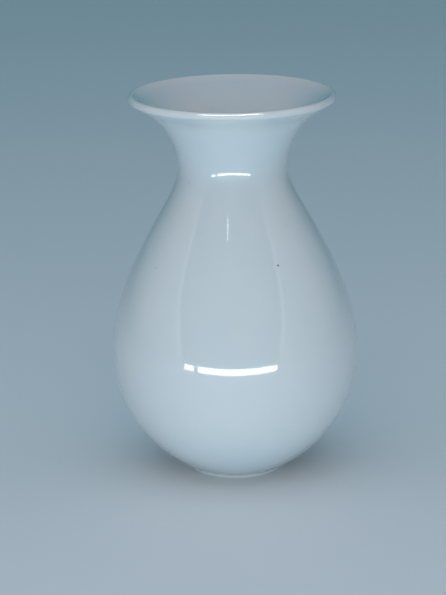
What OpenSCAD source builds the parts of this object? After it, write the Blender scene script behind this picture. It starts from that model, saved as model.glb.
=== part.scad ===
// Porcelain vase: a one-piece baluster with a low belly, a waisted neck
// and a wide flared mouth.
// The clay is one cast body; its glaze is three fused coats: one outside,
// one poured inside, and one in the recess under the foot.
// Millimetres, +Z up, origin on the axis in the plane the foot stands on.

/* [Overall] */
// Height to the crest of the lip
height = 199; // [180:1:220]
// Thickness of each glaze coat
glaze = 0.35; // [0.2:0.05:0.6]

/* [Foot] */
// Radius where the foot ring first touches the table, outside
foot_r = 25; // [22:0.1:28]
// Width of the ring's flat contact face
foot_face = 2.3; // [1.5:0.1:4]
// Radius of the glazed side of the foot ring
foot_side_r = 25.8; // [23:0.1:29]
// Height at which the outside glaze stops above the table
glaze_line = 0.7; // [0.4:0.1:1.5]
// Height of the crease between foot ring and body
foot_h = 1.9; // [1.5:0.1:4]
// How far the crease stands out from the ring's side
crease = 0.9; // [0.5:0.1:2]
// Slope of the underside where it leaves the crease, in degrees
under_a = 29.2; // [20:0.2:40]
// Depth of the glazed recess inside the foot ring
recess_h = 1.9; // [1:0.1:3]

/* [Belly] */
// Largest outside radius
belly_r = 64.3; // [60:0.1:70]
// Height of the largest radius
belly_z = 64.9; // [55:0.1:75]
// Clay and glaze together at the belly
belly_wall = 4; // [3:0.1:5]
// Height of the inside floor
floor_z = 6.8; // [5:0.1:9]
// Radius of the level middle of the floor
floor_r = 11; // [4:0.5:16]

/* [Shoulder] */
// Outside radius where the shoulder runs straight
shoulder_r = 39.7; // [36:0.1:44]
// Height of that place
shoulder_z = 133.8; // [125:0.1:142]
// Lean of the shoulder there, from upright, in degrees
shoulder_a = 29.8; // [24:0.2:36]
// Clay and glaze together at the shoulder
shoulder_wall = 3.7; // [3:0.1:5]

/* [Neck] */
// Smallest outside radius
neck_r = 28.1; // [25:0.1:31]
// Height of the smallest radius
neck_z = 161.5; // [155:0.1:170]
// Radius of the straight throat inside the neck
throat_r = 24.5; // [22:0.1:27]
// Length of the straight throat
throat_len = 8; // [4:0.5:12]

/* [Mouth] */
// Outside radius of the lip
lip_r = 53; // [48:0.1:58]
// Radius of the lip's rounded edge
lip_round = 2; // [1.4:0.1:2.6]
// Radius where the flare turns from hollow to full
flare_r = 44.4; // [42:0.1:47]
// Height of that place
flare_z = 190.6; // [187:0.1:193]
// Lean of the flare there, from upright, in degrees
flare_a = 59; // [52:0.2:62]
// Lean of the flare where the rounded edge begins, in degrees
lip_a = 46; // [40:1:57]

/* [Hidden] */
$fn = 128;
steps = 22;
clay_colour = [0.91, 0.88, 0.83];
glaze_colour = [0.84, 0.89, 0.92];

function dir(a) = [cos(a), sin(a)];
function cross2(u, v) = u[0] * v[1] - u[1] * v[0];
function right(t) = [t[1], -t[0]] / norm(t);

// One stretch of a profile. It leaves p in direction a and arrives at q in
// direction b; f and g say how far each handle reaches towards the corner
// where the two tangents meet. Each entry is [point, outward normal].
function curve(p, a, q, b, f = 0.6, g = 0.6, n = steps) =
  let (k = cross2(dir(a), dir(b)),
       p1 = p + f * cross2(q - p, dir(b)) / k * dir(a),
       p2 = q - g * cross2(dir(a), q - p) / k * dir(b))
  [for (i = [0 : n]) let (t = i / n, s = 1 - t)
    [s * s * s * p + 3 * s * s * t * p1 + 3 * s * t * t * p2 + t * t * t * q,
     right(s * s * (p1 - p) + 2 * s * t * (p2 - p1) + t * t * (q - p2))]];

// A round stretch about centre c from normal angle a to normal angle b.
function arc(c, r, a, b, n) =
  [for (i = [0 : n]) let (t = a + (b - a) * i / n) [c + r * dir(t), dir(t)]];

// A profile moved towards the clay by d.
function sunk(line, d) = [for (s = line) s[0] - d * s[1]];
function tail(v) = [for (i = [1 : len(v) - 1]) v[i]];
function flip(v) = [for (i = [len(v) - 1 : -1 : 0]) v[i]];

lip_c = [lip_r - lip_round, height - lip_round];
crease_p = [foot_side_r + crease, foot_h];
shoulder_in = [shoulder_r, shoulder_z] - shoulder_wall * dir(shoulder_a);
mouth_in = lip_c + lip_round * dir(180 - flare_a);

// Glazed outside, from the glaze line on the foot up to the crest of the lip
outside = concat(
  curve([foot_side_r, glaze_line], 88, crease_p, under_a, n = 6),
  tail(curve(crease_p, under_a, [belly_r, belly_z], 90, 0.61, 0.69)),
  tail(curve([belly_r, belly_z], 90,
    [shoulder_r, shoulder_z], 90 + shoulder_a, 0.66, 0.69)),
  tail(curve([shoulder_r, shoulder_z], 90 + shoulder_a,
    [neck_r, neck_z], 90, 0.74, 0.92)),
  tail(curve([neck_r, neck_z], 90, [flare_r, flare_z], 90 - flare_a, 0.5, 0.66)),
  tail(curve([flare_r, flare_z], 90 - flare_a,
    lip_c + lip_round * dir(-lip_a), 90 - lip_a, n = 5)),
  tail(arc(lip_c, lip_round, -lip_a, 90, 12)));

// Glazed inside, from the crest of the lip down to the middle of the floor
inside = concat(
  arc(lip_c, lip_round, 90, 180 - flare_a, 4),
  tail(curve(mouth_in, 270 - flare_a,
    [throat_r, neck_z + throat_len / 2], 270, 0.8, 0.4)),
  curve([throat_r, neck_z - throat_len / 2], 270,
    shoulder_in, 270 + shoulder_a, 0.85, 0.5),
  tail(curve(shoulder_in, 270 + shoulder_a,
    [belly_r - belly_wall, belly_z], 270, 0.69, 0.66)),
  tail(curve([belly_r - belly_wall, belly_z], 270,
    [floor_r, floor_z], 180, 0.58, 0.57)));

// Bare clay of the foot ring, from the recess out to the glaze line
ring_in = foot_r - foot_face;
bare_foot = [
  [0, recess_h + glaze], [ring_in - 1.9, recess_h + glaze],
  [ring_in - 1.3, recess_h], [ring_in - 0.5, 0.4], [ring_in, 0],
  [foot_r, 0], [foot_r + 0.3, 0.15], [foot_side_r - glaze, 0.45]];

module porcelain_body() {
  color(clay_colour) rotate_extrude()
    polygon(concat(bare_foot, sunk(outside, glaze), tail(sunk(inside, glaze)),
      [[0, floor_z - glaze]]));
}

module outer_glaze() {
  color(glaze_colour) rotate_extrude()
    polygon(concat(sunk(outside, 0), flip(sunk(outside, glaze))));
}

module liner_glaze() {
  color(glaze_colour) rotate_extrude()
    polygon(concat(sunk(inside, 0), [[0, floor_z], [0, floor_z - glaze]],
      flip(sunk(inside, glaze))));
}

module base_glaze() {
  color(glaze_colour) translate([0, 0, recess_h])
    cylinder(h = glaze, r = ring_in - 1.9);
}

porcelain_body();
outer_glaze();
liner_glaze();
base_glaze();
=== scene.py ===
import math

import bpy
from mathutils import Matrix, Vector


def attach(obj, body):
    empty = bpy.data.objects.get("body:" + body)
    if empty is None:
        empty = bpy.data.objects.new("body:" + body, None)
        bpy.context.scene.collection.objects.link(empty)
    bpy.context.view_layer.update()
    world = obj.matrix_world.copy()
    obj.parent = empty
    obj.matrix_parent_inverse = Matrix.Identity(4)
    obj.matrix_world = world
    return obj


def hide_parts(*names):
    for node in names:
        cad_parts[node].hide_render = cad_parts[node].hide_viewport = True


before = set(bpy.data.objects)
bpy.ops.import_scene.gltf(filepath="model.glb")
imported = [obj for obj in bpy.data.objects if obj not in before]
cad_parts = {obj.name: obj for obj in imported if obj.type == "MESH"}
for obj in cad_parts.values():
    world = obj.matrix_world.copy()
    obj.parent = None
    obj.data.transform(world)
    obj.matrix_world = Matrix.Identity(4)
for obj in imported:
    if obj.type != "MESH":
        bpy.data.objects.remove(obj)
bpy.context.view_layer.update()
scene = bpy.context.scene

# ---------------------------------------------------------------- Porcelain body
# The fired clay: foot ring, belly, shoulder, neck and flared mouth in one piece,
# cast or turned about 3.5 mm thick, with the marks of turning left in the wall.
# It is covered by glaze and shows bare only on the ring it stands on.

MM = 0.001
COAT = 0.35 * MM
FACETS_ROUND = 240
FLAT_SHADING_ANGLE = 50

# Places on the outline are (radius, height) in millimetres, and leans are degrees from upright.
HEIGHT = 199
FOOT_SIDE = (25.8, 0.7)
CREASE = (26.7, 1.9)
RECESS = 1.9
RECESS_RADIUS = 20.8
BELLY = (64.3, 64.9)
BELLY_WALL = 4
FLOOR_EDGE = (11, 6.8)
SHOULDER = (39.7, 133.8)
SHOULDER_LEAN = 29.8
SHOULDER_WALL = 3.7
NECK = (28.1, 161.5)
THROAT_RADIUS = 24.5
THROAT_LENGTH = 8
FLARE = (44.4, 190.6)
FLARE_LEAN = 59
LIP_RADIUS = 2
LIP_CENTRE = (53 - LIP_RADIUS, HEIGHT - LIP_RADIUS)
LIP_LEAN = 46


def way(angle):
    return Vector((math.cos(math.radians(angle)), math.sin(math.radians(angle))))


def cross(u, v):
    return u.x * v.y - u.y * v.x


def sweep(start, start_way, end, end_way, f=0.6, g=0.6, steps=32):
    """A smooth stretch of outline in millimetres, as (point, outward normal) pairs in metres.
    The handles reach the shares f and g of the way to where the end tangents meet."""
    p, q = Vector(start) * MM, Vector(end) * MM
    u, v = way(start_way), way(end_way)
    p1 = p + u * (f * cross(q - p, v) / cross(u, v))
    p2 = q - v * (g * cross(u, q - p) / cross(u, v))
    line = []
    for i in range(steps + 1):
        t = i / steps
        s = 1 - t
        point = s**3 * p + 3 * s * s * t * p1 + 3 * s * t * t * p2 + t**3 * q
        along = s * s * (p1 - p) + 2 * s * t * (p2 - p1) + t * t * (q - p2)
        line.append((point, Vector((along.y, -along.x)).normalized()))
    return line


def on_lip(angle):
    return Vector(LIP_CENTRE) + LIP_RADIUS * way(angle)


def lip_round(edge, crest, steps=22):
    """The rounded lip from its edge to its crest. The steps crowd towards the
    crest, where two coats meet, so the light runs over the join unbroken."""
    turns = [crest + (edge - crest) * (1 - i / steps) ** 2 for i in range(steps + 1)]
    return [(on_lip(a) * MM, way(a)) for a in turns]


def chain(*stretches):
    """Stretches joined end to end; a shared end point is kept once."""
    line = []
    for stretch in stretches:
        repeats = line and (stretch[0][0] - line[-1][0]).length < 1e-7
        line += stretch[1:] if repeats else stretch
    return line


def sunk(line, depth):
    return [point - depth * normal for point, normal in line]


def corners(*points):
    return [Vector(point) * MM for point in points]


# Ways along the outline are degrees turned from straight outwards.
FOOT_SIDE_WAY = 88
UNDERSIDE_WAY = 29.2
UP, DOWN, INWARD = 90, 270, 180
outside = chain(
    sweep(FOOT_SIDE, FOOT_SIDE_WAY, CREASE, UNDERSIDE_WAY, steps=8),
    sweep(CREASE, UNDERSIDE_WAY, BELLY, UP, 0.61, 0.69, 44),
    sweep(BELLY, UP, SHOULDER, UP + SHOULDER_LEAN, 0.66, 0.69, 36),
    sweep(SHOULDER, UP + SHOULDER_LEAN, NECK, UP, 0.74, 0.92, 28),
    sweep(NECK, UP, FLARE, UP - FLARE_LEAN, 0.5, 0.66, 30),
    sweep(FLARE, UP - FLARE_LEAN, on_lip(-LIP_LEAN), UP - LIP_LEAN, steps=6),
    lip_round(-LIP_LEAN, UP),
)
throat_top = NECK[1] + THROAT_LENGTH / 2
throat_bottom = NECK[1] - THROAT_LENGTH / 2
throat_heights = [throat_top - THROAT_LENGTH * i / 4 for i in range(5)]
shoulder_inside = Vector(SHOULDER) - SHOULDER_WALL * way(SHOULDER_LEAN)
belly_inside = (BELLY[0] - BELLY_WALL, BELLY[1])
inside = chain(
    lip_round(180 - FLARE_LEAN, UP)[::-1],
    sweep(on_lip(180 - FLARE_LEAN), DOWN - FLARE_LEAN, (THROAT_RADIUS, throat_top), DOWN, 0.8, 0.4, 36),
    [(Vector((THROAT_RADIUS, z)) * MM, way(INWARD)) for z in throat_heights],
    sweep((THROAT_RADIUS, throat_bottom), DOWN, shoulder_inside, DOWN + SHOULDER_LEAN, 0.85, 0.5, 22),
    sweep(shoulder_inside, DOWN + SHOULDER_LEAN, belly_inside, DOWN, 0.69, 0.66, 32),
    sweep(belly_inside, DOWN, FLOOR_EDGE, INWARD, 0.58, 0.57, 40),
)
# The bare underside, from the middle of the recess out over the ring to the glaze.
recess_roof = RECESS + COAT / MM
bare_foot = corners(
    (0, recess_roof), (10, recess_roof), (RECESS_RADIUS, recess_roof),
    (21.4, RECESS), (21.8, 1.15), (22.2, 0.4), (22.4, 0.1), (22.7, 0),
    (23.8, 0), (25.0, 0), (25.2, 0.05), (25.38, 0.2), (25.45, 0.45))
# The middle of the inside floor, with its glaze and without.
floor_glazed = corners((0, FLOOR_EDGE[1]), (FLOOR_EDGE[0] / 2, FLOOR_EDGE[1]))
floor_clay = [point - Vector((0, COAT)) for point in floor_glazed]


def new_tree(name, kind, sockets):
    """A node group with named sockets: (name, side, socket type, start value)."""
    tree = bpy.data.node_groups.new(name, kind)
    for label, side, socket, value in sockets:
        made = tree.interface.new_socket(name=label, in_out=side, socket_type="NodeSocket" + socket)
        if value is not None:
            made.default_value = value
    return tree


def add(tree, kind, inputs=None, **settings):
    """A node with its settings and its inputs; an input may be a value or a link."""
    made = tree.nodes.new(kind)
    for key, value in settings.items():
        setattr(made, key, value)
    for key, value in (inputs or {}).items():
        if isinstance(value, bpy.types.NodeSocket):
            tree.links.new(value, made.inputs[key])
        else:
            made.inputs[key].default_value = value
    return made


def maths(tree, operation, *values, clamp=False):
    made = add(tree, "ShaderNodeMath", dict(enumerate(values)), operation=operation, use_clamp=clamp)
    return made.outputs[0]


def fade(tree, value, start, end, smooth=True):
    """0 where the value is at start, 1 where it is at end."""
    kind = "SMOOTHSTEP" if smooth else "LINEAR"
    made = add(tree, "ShaderNodeMapRange", {"Value": value, "From Min": start, "From Max": end},
               interpolation_type=kind)
    return made.outputs[0]


def noise(tree, place, size, detail=2.0, rough=0.5):
    """Cloudy noise from 0 to 1 whose patches are about as wide as size."""
    made = add(tree, "ShaderNodeTexNoise", {
        "Vector": place, "Scale": 1 / size, "Detail": detail, "Roughness": rough})
    return made.outputs[0]


def build_wheel():
    """Turns an outline about the upright axis, as on a potter's wheel, and
    leaves the hand's faint rings and a slight out-of-round in the wall."""
    tree = new_tree("potters_wheel", "GeometryNodeTree", [
        ("Outline", "INPUT", "Geometry", None),
        ("Facets Round", "INPUT", "Int", FACETS_ROUND),
        ("Ring Depth", "INPUT", "Float", 0.06 * MM),
        ("Ring Spacing", "INPUT", "Float", 8 * MM),
        ("Out Of Round", "INPUT", "Float", 0.3 * MM),
        ("Swell Size", "INPUT", "Float", 90 * MM),
        ("True Below", "INPUT", "Float", 8 * MM),
        ("Seed", "INPUT", "Float", 3.0),
        ("Finish", "INPUT", "Material", None),
        ("Turned", "OUTPUT", "Geometry", None),
    ])
    tree.is_modifier = True
    given = tree.nodes.new("NodeGroupInput").outputs
    hub = 1 * MM
    # The sweep hangs an outline upside down, so it is turned over first.
    outline = add(tree, "GeometryNodeTransform", {
        "Geometry": given["Outline"], "Translation": (-hub, 0, 0), "Scale": (1, -1, 1)})
    line = add(tree, "GeometryNodeMeshToCurve", {"Mesh": outline.outputs[0]})
    path = add(tree, "GeometryNodeCurvePrimitiveCircle", {
        "Resolution": given["Facets Round"], "Radius": hub})
    spun = add(tree, "GeometryNodeCurveToMesh", {
        "Curve": path.outputs["Curve"], "Profile Curve": line.outputs["Curve"]})
    closed = add(tree, "GeometryNodeMergeByDistance", {
        "Geometry": spun.outputs["Mesh"], "Distance": 1e-6})
    place = add(tree, "GeometryNodeInputPosition").outputs[0]
    parts = add(tree, "ShaderNodeSeparateXYZ", {0: place}).outputs
    flat = add(tree, "ShaderNodeCombineXYZ", {0: parts[0], 1: parts[1]}).outputs[0]
    outward = add(tree, "ShaderNodeVectorMath", {0: flat}, operation="NORMALIZE").outputs[0]
    level = maths(tree, "DIVIDE", parts[2], given["Ring Spacing"])
    rings = add(tree, "ShaderNodeTexNoise", {
        "W": maths(tree, "ADD", level, given["Seed"]), "Scale": 1.0, "Detail": 2.0, "Roughness": 0.6},
        noise_dimensions="1D").outputs[0]
    shifted = add(tree, "ShaderNodeVectorMath", {0: place, 1: given["Seed"]}, operation="ADD")
    swell = add(tree, "ShaderNodeTexNoise", {
        "Vector": shifted.outputs[0], "Detail": 1.0,
        "Scale": maths(tree, "DIVIDE", 1.0, given["Swell Size"])}).outputs[0]
    move = maths(tree, "ADD",
                 maths(tree, "MULTIPLY", maths(tree, "SUBTRACT", rings, 0.5), given["Ring Depth"]),
                 maths(tree, "MULTIPLY", maths(tree, "SUBTRACT", swell, 0.5), given["Out Of Round"]))
    settled = maths(tree, "MULTIPLY", move, fade(tree, parts[2], 2.5 * MM, given["True Below"]))
    offset = add(tree, "ShaderNodeVectorMath", {0: outward, "Scale": settled}, operation="SCALE")
    shaped = add(tree, "GeometryNodeSetPosition", {
        "Geometry": closed.outputs[0], "Offset": offset.outputs[0]})
    smooth = add(tree, "GeometryNodeSetShadeSmooth", {"Geometry": shaped.outputs[0]})
    real = add(tree, "GeometryNodeRealizeInstances", {"Geometry": smooth.outputs[0]})
    dressed = add(tree, "GeometryNodeSetMaterial", {
        "Geometry": real.outputs[0], "Material": given["Finish"]})
    add(tree, "NodeGroupOutput", {"Turned": dressed.outputs[0]})
    return tree


def made_plain(rough):
    """The evaluated piece as a plain mesh in a fresh object, faces outwards."""
    bpy.context.view_layer.update()
    depsgraph = bpy.context.evaluated_depsgraph_get()
    mesh = bpy.data.meshes.new_from_object(rough.evaluated_get(depsgraph))
    name = rough.name
    bpy.data.objects.remove(rough)
    volume = 0.0
    for face in mesh.polygons:
        around = [mesh.vertices[i].co for i in face.vertices]
        for b, c in zip(around[1:], around[2:]):
            volume += around[0].dot(b.cross(c))
    if volume < 0:
        mesh.flip_normals()
    mesh.set_sharp_from_angle(angle=math.radians(FLAT_SHADING_ANGLE))
    mesh.name = name
    piece = bpy.data.objects.new(name, mesh)
    scene.collection.objects.link(piece)
    return piece


def turned(name, points, finish, closed=False, **inputs):
    """A piece spun from its outline, which runs from axis to axis unless it is closed."""
    edges = [(i, i + 1) for i in range(len(points) - 1)]
    if closed:
        edges.append((len(points) - 1, 0))
    mesh = bpy.data.meshes.new(name)
    mesh.from_pydata([(p.x, p.y, 0.0) for p in points], edges, [])
    rough = bpy.data.objects.new(name, mesh)
    scene.collection.objects.link(rough)
    spin = rough.modifiers.new("spin", "NODES")
    spin.node_group = wheel
    sockets = {s.name: s.identifier for s in wheel.interface.items_tree if s.in_out == "INPUT"}
    for label, value in {"Finish": finish, **inputs}.items():
        spin[sockets[label]] = value
    return made_plain(rough)


def new_finish(name, coat_weight, coat_roughness):
    """A material with its shader, output and the piece's own coordinates."""
    finish = bpy.data.materials.new(name)
    finish.use_nodes = True
    tree = finish.node_tree
    tree.nodes.clear()
    skin = add(tree, "ShaderNodeBsdfPrincipled", {
        "IOR": 1.5, "Coat Weight": coat_weight, "Coat Roughness": coat_roughness, "Coat IOR": 1.5})
    add(tree, "ShaderNodeOutputMaterial", {"Surface": skin.outputs[0]})
    place = add(tree, "ShaderNodeTexCoord").outputs["Object"]
    return finish, tree, skin, place


def raised(tree, height):
    """A bumped normal from a height in metres."""
    return add(tree, "ShaderNodeBump", {"Strength": 1.0, "Distance": 1.0, "Height": height}).outputs[0]


def biscuit_clay():
    """Bare fired porcelain: chalk white, close-grained, toasted a little where
    the glaze stops and rubbed grey where it stands."""
    finish, tree, skin, place = new_finish("bare_porcelain", 0.0, 0.3)
    height = add(tree, "ShaderNodeSeparateXYZ", {0: place}).outputs[2]
    grain = noise(tree, place, 0.35 * MM, 3.0, 0.6)
    patch = noise(tree, place, 4 * MM, 3.0)
    toast = maths(tree, "MULTIPLY", fade(tree, height, 0.25 * MM, 0.65 * MM), patch)
    worn = maths(tree, "MULTIPLY", fade(tree, height, 0.12 * MM, 0.0), fade(tree, patch, 0.35, 0.7))
    chalk = add(tree, "ShaderNodeMix", {0: grain, 6: (0.66, 0.64, 0.60, 1), 7: (0.78, 0.765, 0.73, 1)},
                data_type="RGBA")
    warmed = add(tree, "ShaderNodeMix", {0: toast, 6: chalk.outputs[2], 7: (0.60, 0.47, 0.34, 1)},
                 data_type="RGBA")
    rubbed = add(tree, "ShaderNodeMix", {
        0: maths(tree, "MULTIPLY", worn, 0.45), 6: warmed.outputs[2], 7: (0.36, 0.35, 0.33, 1)},
        data_type="RGBA")
    tree.links.new(rubbed.outputs[2], skin.inputs["Base Color"])
    rough = maths(tree, "ADD", maths(tree, "MULTIPLY", grain, 0.2), 0.55)
    tree.links.new(rough, skin.inputs["Roughness"])
    tree.links.new(raised(tree, maths(tree, "MULTIPLY", grain, 0.03 * MM)), skin.inputs["Normal"])
    return finish


wheel = build_wheel()
clay_outline = bare_foot + sunk(outside, COAT) + sunk(inside, COAT) + floor_clay[::-1]
clay = turned("porcelain_clay", clay_outline, biscuit_clay())
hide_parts("porcelain_body")
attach(clay, "root")

# ---------------------------------------------------------------- Outside glaze
# The clear glaze over the whole outside, from just above the ring the vase
# stands on to the crest of the lip, its faint blue partly painted blue light.
# The vase was dipped and fired, so the coat is a third of a millimetre thick.
# It is palest on the lip, partly thin glaze and partly a painted highlight, and
# deepest and bluest towards the bottom and in the crease over the foot, partly
# pooled glaze and partly painted shade and blue bounce light.


def build_fired_glaze():
    """What a fired coat shows over white clay: cloudy depth, a tint that deepens
    where it lies thick, towards a blue that is partly painted blue light, dark
    iron specks, pinholes greyed with painted shade and a soft orange peel."""
    tree = new_tree("fired_glaze", "ShaderNodeTree", [
        ("Place", "INPUT", "Vector", None),
        ("Thickness", "INPUT", "Float", 0.5),
        ("Thin Tint", "INPUT", "Color", (0.78, 0.80, 0.80, 1)),
        # The thick tint's blue is partly the glaze's own, partly painted blue light.
        ("Thick Tint And Painted Blue", "INPUT", "Color", (0.58, 0.70, 0.77, 1)),
        ("Cloud Size", "INPUT", "Float", 22 * MM),
        ("Cloud Strength", "INPUT", "Float", 0.22),
        ("Speck Spacing", "INPUT", "Float", 17 * MM),
        ("Speck Size", "INPUT", "Float", 0.22 * MM),
        ("Peel Depth", "INPUT", "Float", 0.004 * MM),
        ("Swell Depth", "INPUT", "Float", 0.03 * MM),
        ("Gloss", "INPUT", "Float", 0.05),
        ("Colour", "OUTPUT", "Color", None),
        ("Roughness", "OUTPUT", "Float", None),
        ("Height", "OUTPUT", "Float", None),
    ])
    given = tree.nodes.new("NodeGroupInput").outputs
    place = given["Place"]
    cloud = add(tree, "ShaderNodeTexNoise", {
        "Vector": place, "Scale": maths(tree, "DIVIDE", 1.0, given["Cloud Size"]),
        "Detail": 4.0, "Roughness": 0.55}).outputs[0]
    drawn_out = (1.0, 1.0, 0.22)
    streak_place = add(tree, "ShaderNodeMapping", {"Vector": place, "Scale": drawn_out}).outputs[0]
    streak = noise(tree, streak_place, 7 * MM, 2.0)
    uneven = maths(tree, "ADD", maths(tree, "SUBTRACT", cloud, 0.5),
                   maths(tree, "MULTIPLY", maths(tree, "SUBTRACT", streak, 0.5), 0.5))
    # The depth also places painted shade, blue bounce light and painted highlight.
    depth = maths(tree, "ADD", given["Thickness"],
                  maths(tree, "MULTIPLY", uneven, given["Cloud Strength"]), clamp=True)
    # Deeper glaze leans towards the thick tint and its painted blue light.
    tint = add(tree, "ShaderNodeMix", {0: depth, 6: given["Thin Tint"], 7: given["Thick Tint And Painted Blue"]},
               data_type="RGBA").outputs[2]
    fine = noise(tree, place, 1.1 * MM, 2.0)
    # A speck sits in only a few of the cells, each a different size.
    cells = add(tree, "ShaderNodeTexVoronoi", {
        "Vector": place, "Scale": maths(tree, "DIVIDE", 1.0, given["Speck Spacing"])})
    chance = add(tree, "ShaderNodeSeparateColor", {0: cells.outputs["Color"]}).outputs
    reach = maths(tree, "MULTIPLY", cells.outputs["Distance"], given["Speck Spacing"])
    fray = maths(tree, "MULTIPLY", maths(tree, "SUBTRACT", fine, 0.5), 0.2 * MM)
    ragged = maths(tree, "ADD", reach, fray)
    width = maths(tree, "MULTIPLY", given["Speck Size"], maths(tree, "ADD", chance[1], 0.4))
    inside_speck = maths(tree, "LESS_THAN", ragged, width)
    specks = maths(tree, "MULTIPLY", inside_speck, maths(tree, "GREATER_THAN", chance[0], 0.5))
    pits = add(tree, "ShaderNodeTexVoronoi", {"Vector": place, "Scale": 1 / (6 * MM)})
    pit_chance = add(tree, "ShaderNodeSeparateColor", {0: pits.outputs["Color"]}).outputs[2]
    pit = maths(tree, "MULTIPLY", fade(tree, pits.outputs["Distance"], 0.03, 0.0),
                maths(tree, "GREATER_THAN", pit_chance, 0.8))
    # Pinholes greyed in colour: painted shade inside the pits.
    pits_greyed_as_shade = add(tree, "ShaderNodeMix", {
        0: maths(tree, "MULTIPLY", pit, 0.25), 6: tint, 7: (0.35, 0.36, 0.36, 1)}, data_type="RGBA")
    spotted = add(tree, "ShaderNodeMix", {
        0: maths(tree, "MULTIPLY", specks, 0.75), 6: pits_greyed_as_shade.outputs[2], 7: (0.10, 0.075, 0.055, 1)},
        data_type="RGBA")
    smear = noise(tree, place, 30 * MM, 3.0, 0.6)
    dulled = maths(tree, "MULTIPLY", fade(tree, smear, 0.45, 0.8), 0.04)
    sheen = maths(tree, "ADD", given["Gloss"], dulled)
    peel = maths(tree, "MULTIPLY", noise(tree, place, 2.4 * MM, 1.0), given["Peel Depth"])
    swell = maths(tree, "MULTIPLY", noise(tree, streak_place, 13 * MM, 1.0), given["Swell Depth"])
    height = maths(tree, "SUBTRACT", maths(tree, "ADD", peel, swell),
                   maths(tree, "MULTIPLY", pit, 0.05 * MM))
    add(tree, "NodeGroupOutput", {"Colour": spotted.outputs[2], "Roughness": sheen, "Height": height})
    return tree


def glaze_finish(name, thickness_and_light, placed_specks=(), **values):
    """A clear glaze over white clay. thickness_and_light(tree, place) says how thick
    it lies, and with it where painted shade and painted highlight fall, and each
    placed speck is (x, y, z, radius) in millimetres."""
    finish, tree, skin, place = new_finish(name, 1.0, 0.02)
    coat = add(tree, "ShaderNodeGroup", node_tree=fired_glaze)
    tree.links.new(place, coat.inputs["Place"])
    tree.links.new(thickness_and_light(tree, place), coat.inputs["Thickness"])
    for label, value in values.items():
        coat.inputs[label.replace("_", " ")].default_value = value
    colour = coat.outputs["Colour"]
    for x, y, z, radius in placed_specks:
        away = add(tree, "ShaderNodeVectorMath", {0: place, 1: Vector((x, y, z)) * MM},
                   operation="DISTANCE")
        ragged = maths(tree, "ADD", away.outputs["Value"],
                       maths(tree, "MULTIPLY", noise(tree, place, 0.5 * MM), radius * 0.9 * MM))
        mark = fade(tree, ragged, radius * 1.6 * MM, radius * 1.1 * MM)
        colour = add(tree, "ShaderNodeMix", {
            0: maths(tree, "MULTIPLY", mark, 0.9), 6: colour, 7: (0.03, 0.022, 0.02, 1)},
            data_type="RGBA").outputs[2]
    tree.links.new(colour, skin.inputs["Base Color"])
    tree.links.new(coat.outputs["Roughness"], skin.inputs["Roughness"])
    bumped = raised(tree, coat.outputs["Height"])
    tree.links.new(bumped, skin.inputs["Normal"])
    tree.links.new(bumped, skin.inputs["Coat Normal"])
    return finish


def outside_thickness_and_light(tree, place):
    """Thick in the crease over the foot and in the hollow of the neck, thin on the lip.
    Towards the bottom and in the crease the deeper, bluer colour is partly pooled
    glaze and partly painted shade and blue bounce light; the pale lip is partly
    thin glaze and partly a painted highlight.
    """
    height = add(tree, "ShaderNodeSeparateXYZ", {0: place}).outputs[2]
    # Deeper and bluer towards the bottom: partly pooled glaze, partly painted shade and blue bounce
    # light.
    low = maths(tree, "MULTIPLY", fade(tree, height, 45 * MM, 3 * MM), 0.45)
    # Deeper in the crease over the foot: partly pooled glaze, partly painted contact shade.
    crease = maths(tree, "MULTIPLY", fade(tree, height, 6 * MM, 2 * MM), 0.3)
    neck = maths(tree, "MULTIPLY", maths(tree, "MULTIPLY", fade(tree, height, 140 * MM, 168 * MM),
                                         fade(tree, height, 192 * MM, 176 * MM)), 0.3)
    # Paler on the lip: partly thin glaze, partly a painted highlight.
    lip = maths(tree, "MULTIPLY", fade(tree, height, 195.5 * MM, 198.6 * MM), -0.4)
    total = maths(tree, "ADD", maths(tree, "ADD", low, crease), maths(tree, "ADD", neck, lip))
    return maths(tree, "ADD", total, 0.35)


fired_glaze = build_fired_glaze()
outside_finish = glaze_finish(
    "outside_glaze", outside_thickness_and_light,
    placed_specks=((21.9, -42.2, 119.4, 0.55), (-39.7, -29.6, 115.4, 0.3)))
outer_outline = sunk(outside, 0) + sunk(outside, COAT)[::-1]
outer = turned("outside_glaze", outer_outline, outside_finish, closed=True)
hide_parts("outer_glaze")
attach(outer, "root")

# ---------------------------------------------------------------- Liner glaze
# The same glaze poured inside and drained, from the crest of the lip down over
# the floor of the belly. It is fused to the clay and lies thickest at the bottom.


def liner_thickness_and_light(tree, place):
    height = add(tree, "ShaderNodeSeparateXYZ", {0: place}).outputs[2]
    pool = maths(tree, "MULTIPLY", fade(tree, height, 60 * MM, 7 * MM), 0.5)
    # Paler on the lip: partly thin glaze, partly a painted highlight.
    lip = maths(tree, "MULTIPLY", fade(tree, height, 195.5 * MM, 198.6 * MM), -0.4)
    return maths(tree, "ADD", maths(tree, "ADD", pool, lip), 0.35)


liner_finish = glaze_finish("liner_glaze", liner_thickness_and_light, Cloud_Strength=0.3)
liner_outline = floor_glazed + sunk(inside, 0)[::-1] + sunk(inside, COAT) + floor_clay[::-1]
liner = turned("poured_liner", liner_outline, liner_finish)
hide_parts("liner_glaze")
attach(liner, "root")

# ---------------------------------------------------------------- Base glaze
# The patch of glaze in the recess under the foot, brushed on over the rings
# that the turning tool left. It stops short of the bare ring, with a soft edge.

RING_PITCH = 2.3
RING_DEPTH = 0.05
STEPS_A_RING = 6
RINGED_RADIUS = 18.9


def ring_height(radius):
    """How high the ringed face lies, in millimetres."""
    return RECESS + RING_DEPTH * (1 - math.cos(2 * math.pi * radius / RING_PITCH))


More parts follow.
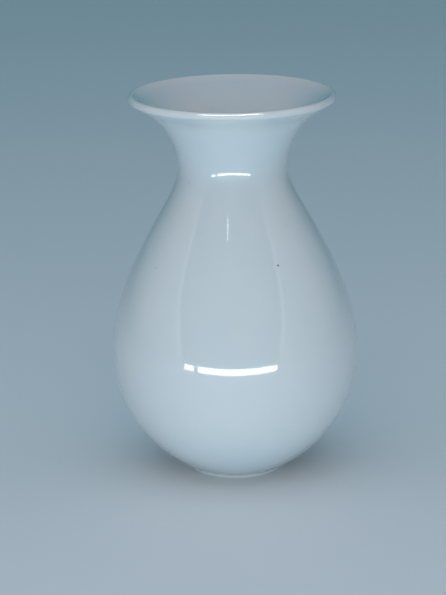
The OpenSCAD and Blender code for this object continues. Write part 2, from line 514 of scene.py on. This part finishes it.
ring_count = int(RINGED_RADIUS / RING_PITCH * STEPS_A_RING) + 1
ring_steps = [i * RING_PITCH / STEPS_A_RING for i in range(ring_count)]
base_face = corners(*[(radius, ring_height(radius)) for radius in ring_steps])
base_edge = corners(
    (19.8, RECESS), (20.3, 1.93), (20.6, 2.02), (20.76, 2.14), (RECESS_RADIUS, recess_roof))
base_back = corners((9, recess_roof), (0, recess_roof))
base_finish = glaze_finish(
    "base_glaze", lambda tree, place: fade(tree, noise(tree, place, 9 * MM), 0.2, 0.9),
    Cloud_Strength=0.4, Gloss=0.2)
base = turned("base_glaze_patch", base_face + base_edge + base_back, base_finish)
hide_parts("base_glaze")
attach(base, "root")

# ---------------------------------------------------------------- Floor
# A plain pale floor with a matt face, far wider than the view, so that no edge
# of it shows behind the vase.


def pale_floor():
    finish, tree, skin, place = new_finish("pale_floor", 0.0, 0.3)
    cloud = noise(tree, place, 300 * MM, 2.0)
    tone = add(tree, "ShaderNodeMix", {0: cloud, 6: (0.79, 0.82, 0.84, 1), 7: (0.81, 0.84, 0.86, 1)},
               data_type="RGBA")
    tree.links.new(tone.outputs[2], skin.inputs["Base Color"])
    skin.inputs["Roughness"].default_value = 0.75
    return finish


FLOOR_HALF = 4.0
floor_corners = [(x * FLOOR_HALF, y * FLOOR_HALF, 0) for x, y in ((-1, -1), (1, -1), (1, 1), (-1, 1))]
floor_mesh = bpy.data.meshes.new("floor")
floor_mesh.from_pydata(floor_corners, [], [(0, 1, 2, 3)])
floor_mesh.materials.append(pale_floor())
floor = bpy.data.objects.new("floor", floor_mesh)
scene.collection.objects.link(floor)

# ---------------------------------------------------------------- Camera
# A long lens a little over a metre in front, looking down on the shoulder and
# into the mouth, and turned a hair off level.

LENS = 133.2
EYE = Vector((0.0, -1.1, 0.41442))
YAW, PITCH, ROLL = math.radians(-0.3126), math.radians(16.399), math.radians(-0.8354)
camera = bpy.data.objects.new("camera", bpy.data.cameras.new("camera"))
scene.collection.objects.link(camera)
scene.camera = camera
camera.data.lens = LENS
ahead = Vector((math.sin(YAW) * math.cos(PITCH), math.cos(YAW) * math.cos(PITCH), -math.sin(PITCH)))
level_right = ahead.cross(Vector((0, 0, 1))).normalized()
level_up = level_right.cross(ahead)
right = math.cos(ROLL) * level_right + math.sin(ROLL) * level_up
up = math.cos(ROLL) * level_up - math.sin(ROLL) * level_right
camera.matrix_world = Matrix((
    (right.x, up.x, -ahead.x, EYE.x), (right.y, up.y, -ahead.y, EYE.y),
    (right.z, up.z, -ahead.z, EYE.z), (0, 0, 0, 1)))

# ---------------------------------------------------------------- Light
# A light tent: soft lamps that light the vase without showing in it, and the dark
# front, lit walls and thin bright strips that the glaze mirrors.

COOL = (0.93, 0.98, 1.0)
WHITE = (1, 1, 1)
OPENING_CENTRE = math.radians(5)
HEM_START, HEM_END = math.radians(45.3), math.radians(46.7)
WALL_START, WALL_END = math.radians(49), math.radians(51)
WIDENING = math.radians(35)


def tent_sky(front, hem, walls, back, above):
    """The tent as seen from the vase: its dark open front, the lit hem of that
    opening, the walls, the back and the roof. The opening widens upwards."""
    sky = bpy.data.worlds.new("light_tent")
    sky.use_nodes = True
    tree = sky.node_tree
    tree.nodes.clear()
    toward = add(tree, "ShaderNodeTexCoord").outputs["Generated"]
    east, north, up = add(tree, "ShaderNodeSeparateXYZ", {0: toward}).outputs
    turn = maths(tree, "ARCTAN2", east, maths(tree, "MULTIPLY", north, -1.0))
    off_middle = maths(tree, "ABSOLUTE", maths(tree, "ADD", turn, OPENING_CENTRE))
    above_level = maths(tree, "MAXIMUM", maths(tree, "SUBTRACT", up, 0.1), 0.0)
    spread = maths(tree, "SUBTRACT", off_middle, maths(tree, "MULTIPLY", above_level, WIDENING))
    tone = front
    for share, light in (
            (fade(tree, spread, HEM_START, HEM_END), hem),
            (fade(tree, spread, WALL_START, WALL_END), walls),
            (fade(tree, north, 0.0, 0.8), back),
            (fade(tree, up, 0.72, 0.97), above)):
        tone = add(tree, "ShaderNodeMix", {0: share, 6: tone, 7: light}, data_type="RGBA").outputs[2]
    glow = add(tree, "ShaderNodeBackground", {"Color": tone})
    add(tree, "ShaderNodeOutputWorld", {"Surface": glow.outputs[0]})
    return sky


def soft_lamp(name, place, aim, width, height, watts, colour, mirrored=True):
    """A flat lamp that the lens doesn't see. A mirrored one only shows in the
    glaze; the others light the vase and don't show."""
    lamp = bpy.data.lights.new(name, "AREA")
    lamp.shape = "RECTANGLE"
    lamp.size, lamp.size_y = width, height
    lamp.energy = watts
    lamp.color = colour
    hung = bpy.data.objects.new(name, lamp)
    hung.rotation_mode = "QUATERNION"
    hung.rotation_quaternion = (Vector(aim) - Vector(place)).to_track_quat("-Z", "Y")
    hung.location = place
    hung.visible_camera = False
    hung.visible_glossy = mirrored
    hung.visible_diffuse = not mirrored
    scene.collection.objects.link(hung)


scene.world = tent_sky(
    front=(0.03, 0.05, 0.06, 1), hem=(0.62, 0.63, 0.66, 1), walls=(0.32, 0.32, 0.33, 1),
    back=(0.08, 0.21, 0.26, 1), above=(0.15, 0.43, 0.55, 1))

# Each lamp: name, place, aim, width, height, watts, colour. The long and the
# short strip stand side by side in front, with a gap between them.
MIDDLE = (0, 0, 0.1)
STRIP_AHEAD, STRIP_LEVEL, STRIP_HEIGHT = -0.42, 0.021, 0.038
LONG_X, SHORT_X = 0.0215, -0.356
soft_lamp("low_softbox", (0, -1.0, 0.09), MIDDLE, 1.2, 0.16, 4.6, (0.66, 0.87, 1.0), mirrored=False)
soft_lamp("high_softbox", (0, -1.3, 0.75), MIDDLE, 1.6, 0.6, 2.9, (1.0, 0.58, 0.32), mirrored=False)
soft_lamp("roof_softbox", (0, -0.1, 1.1), MIDDLE, 1.4, 1.4, 3.0, (0.9, 0.82, 1.0), mirrored=False)
soft_lamp("left_softbox", (-1.0, -0.7, 0.4), MIDDLE, 0.8, 0.8, 0.8, COOL, mirrored=False)
soft_lamp("roof_strip", (-0.03, -0.64, 1.0), (0, 0, 0.2), 1.1, 0.12, 22.0, WHITE)
soft_lamp("long_strip", (LONG_X, STRIP_AHEAD, STRIP_LEVEL), (LONG_X, 0, STRIP_LEVEL),
          0.567, STRIP_HEIGHT, 0.5, WHITE)
soft_lamp("short_strip", (SHORT_X, STRIP_AHEAD, STRIP_LEVEL), (SHORT_X, 0, STRIP_LEVEL),
          0.108, STRIP_HEIGHT, 0.095, WHITE)
soft_lamp("spark", (-0.17, -0.9, 0.98), (0, 0, 0.13), 0.012, 0.004, 0.01, WHITE)

scene.view_settings.view_transform = "Standard"
scene.view_settings.look = "None"
